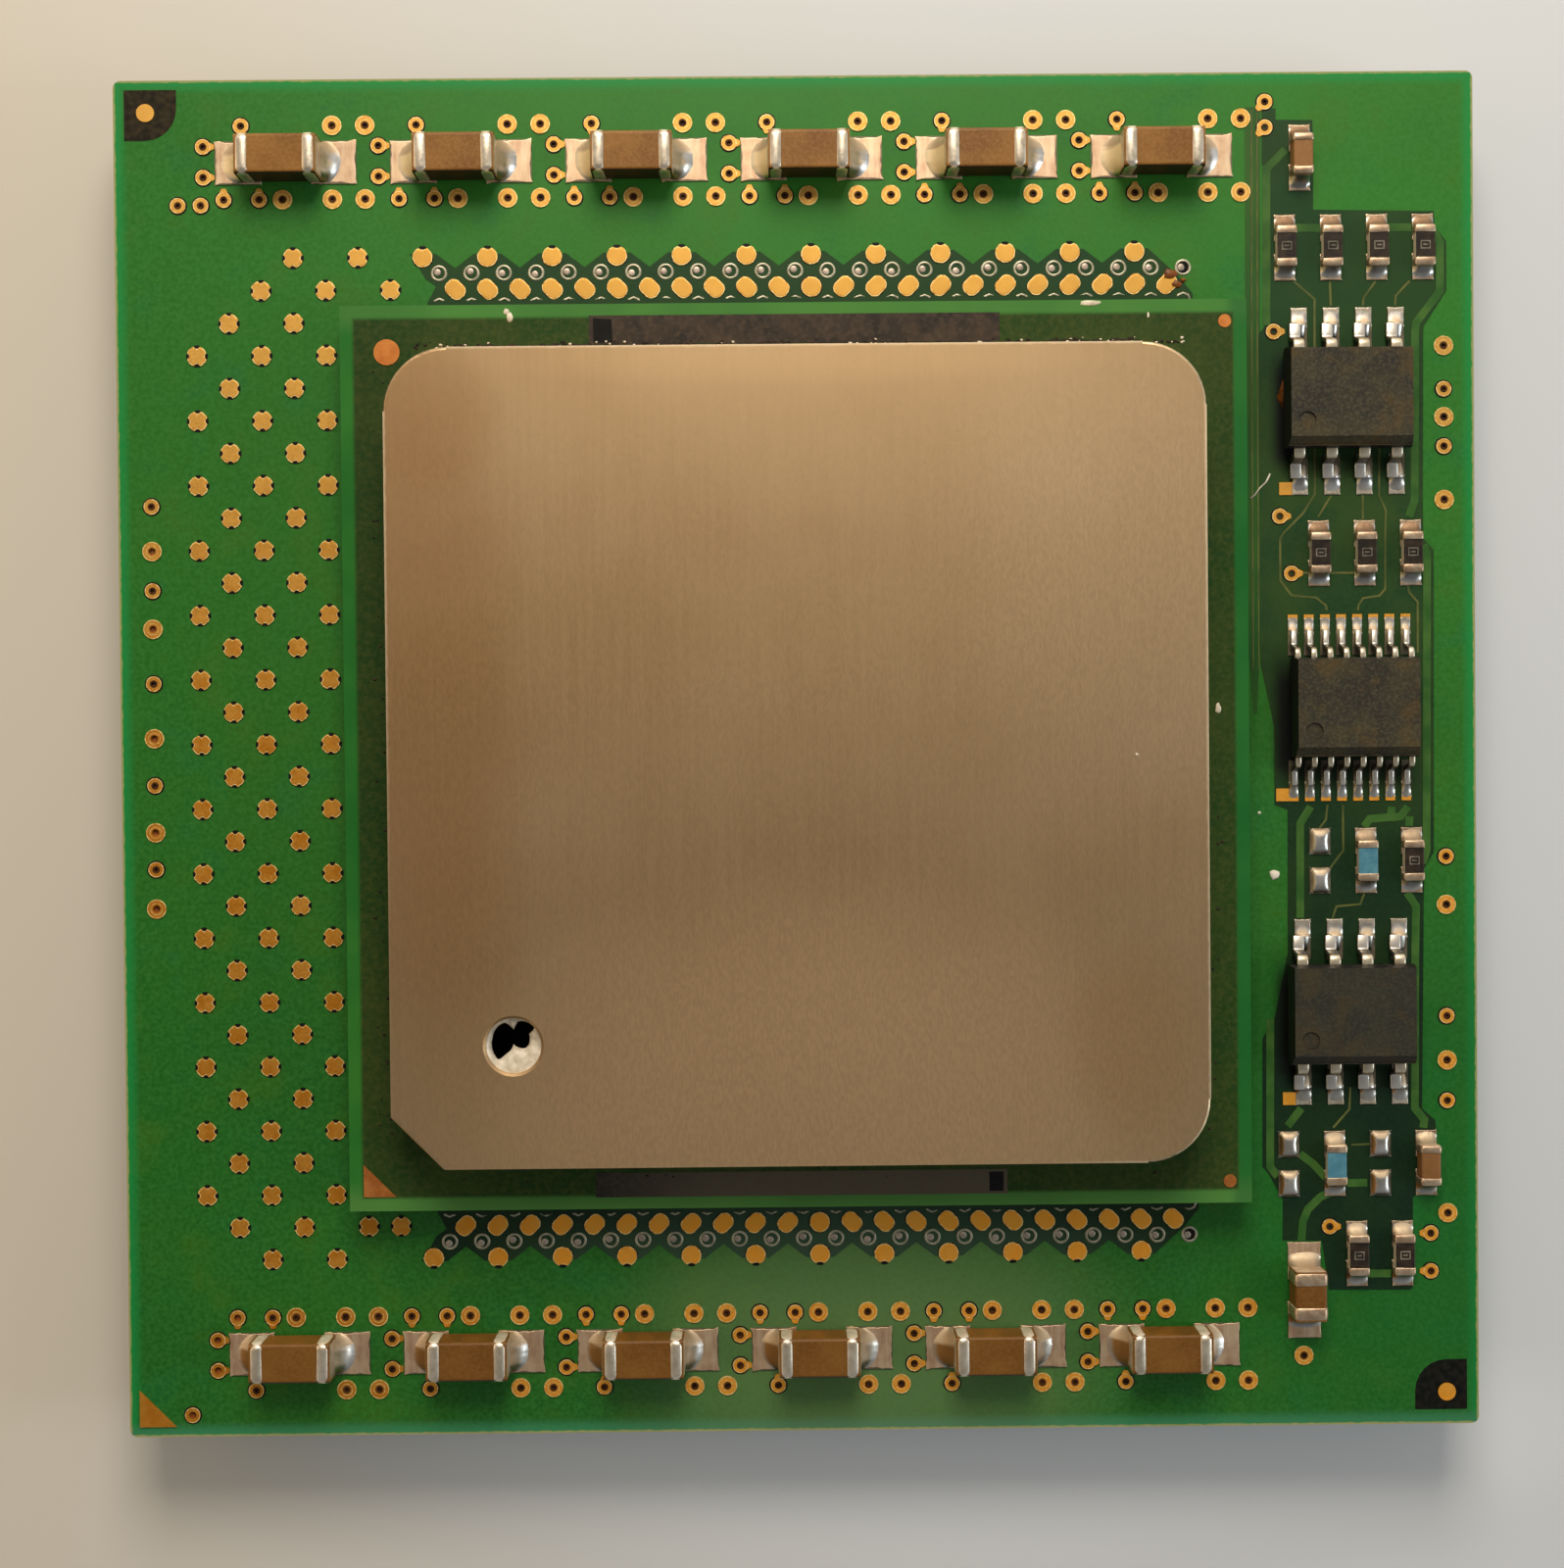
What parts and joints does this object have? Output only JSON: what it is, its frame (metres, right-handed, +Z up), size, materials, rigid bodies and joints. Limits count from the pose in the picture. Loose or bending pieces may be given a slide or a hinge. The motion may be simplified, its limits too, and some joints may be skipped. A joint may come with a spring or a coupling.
{
  "type": "computer processor",
  "caption": "Square server processor: a flip-chip package under a flat metal heat spreader on a pin-grid circuit board with capacitors and chips round it.",
  "frame": {"origin": "under the middle of the board, in the plane of the pin tips", "axes": "+Z up through the heat spreader, +X towards the edge with the chip column, +Y towards the edge away from the spreader's keyed corner and vent hole"},
  "size_m": [0.0534, 0.0534, 0.008],
  "materials": {
    "board_laminate": "solder mask over copper, satin gloss",
    "substrate_laminate": "solder mask, satin gloss",
    "gold": "gold plate, satin",
    "tin": "tin plate, satin",
    "solder": "bright solder",
    "plated_spreader": "brushed plated copper, tarnished",
    "silicon": "polished silicon",
    "underfill": "cured epoxy",
    "interface_metal": "soft metal foil",
    "sealant": "cured sealant, matte",
    "capacitor_ceramic": "fired ceramic, matte",
    "resistor_glaze": "dark glaze",
    "blue_glaze": "blue glaze",
    "mould_compound": "moulded epoxy, matte"
  },
  "bodies": {
    "root": {"interposer_board": "board_laminate", "test_lands": "gold", "via_barrels": "gold", "north_pins": "gold", "south_pins": "gold", "north_pin_barrels": "tin", "south_pin_barrels": "tin", "north_pin_solder": "solder", "south_pin_solder": "solder", "component_lands": "tin", "first_lead_marks": "gold", "board_marks": "gold", "package_substrate": "substrate_laminate", "substrate_marks": "gold", "solder_joints": "solder", "silicon_die": "silicon", "die_underfill": "underfill", "thermal_interface": "interface_metal", "spreader_sealant": "sealant", "heat_spreader": "plated_spreader", "bulk_capacitor_ends": "tin", "bulk_capacitor_solder": "solder", "input_capacitor": "capacitor_ceramic", "small_part_ends": "tin", "small_part_solder": "solder", "lead_solder": "solder", "bare_land_solder": "solder", "bulk_capacitor_1": "capacitor_ceramic", "bulk_capacitor_2": "capacitor_ceramic", "bulk_capacitor_3": "capacitor_ceramic", "bulk_capacitor_4": "capacitor_ceramic", "bulk_capacitor_5": "capacitor_ceramic", "bulk_capacitor_6": "capacitor_ceramic", "bulk_capacitor_7": "capacitor_ceramic", "bulk_capacitor_8": "capacitor_ceramic", "bulk_capacitor_9": "capacitor_ceramic", "bulk_capacitor_10": "capacitor_ceramic", "bulk_capacitor_11": "capacitor_ceramic", "bulk_capacitor_12": "capacitor_ceramic", "filter_capacitor_1": "capacitor_ceramic", "filter_capacitor_2": "capacitor_ceramic", "chip_resistor_1": "resistor_glaze", "chip_resistor_2": "resistor_glaze", "chip_resistor_3": "resistor_glaze", "chip_resistor_4": "resistor_glaze", "chip_resistor_5": "resistor_glaze", "chip_resistor_6": "resistor_glaze", "chip_resistor_7": "resistor_glaze", "chip_resistor_8": "resistor_glaze", "chip_resistor_9": "resistor_glaze", "chip_resistor_10": "resistor_glaze", "film_resistor_1": "blue_glaze", "film_resistor_2": "blue_glaze", "memory_chip": "mould_compound", "sensor_chip": "mould_compound", "regulator_chip": "mould_compound", "memory_leads": "tin", "sensor_leads": "tin", "regulator_leads": "tin"}
  },
  "joints": []
}
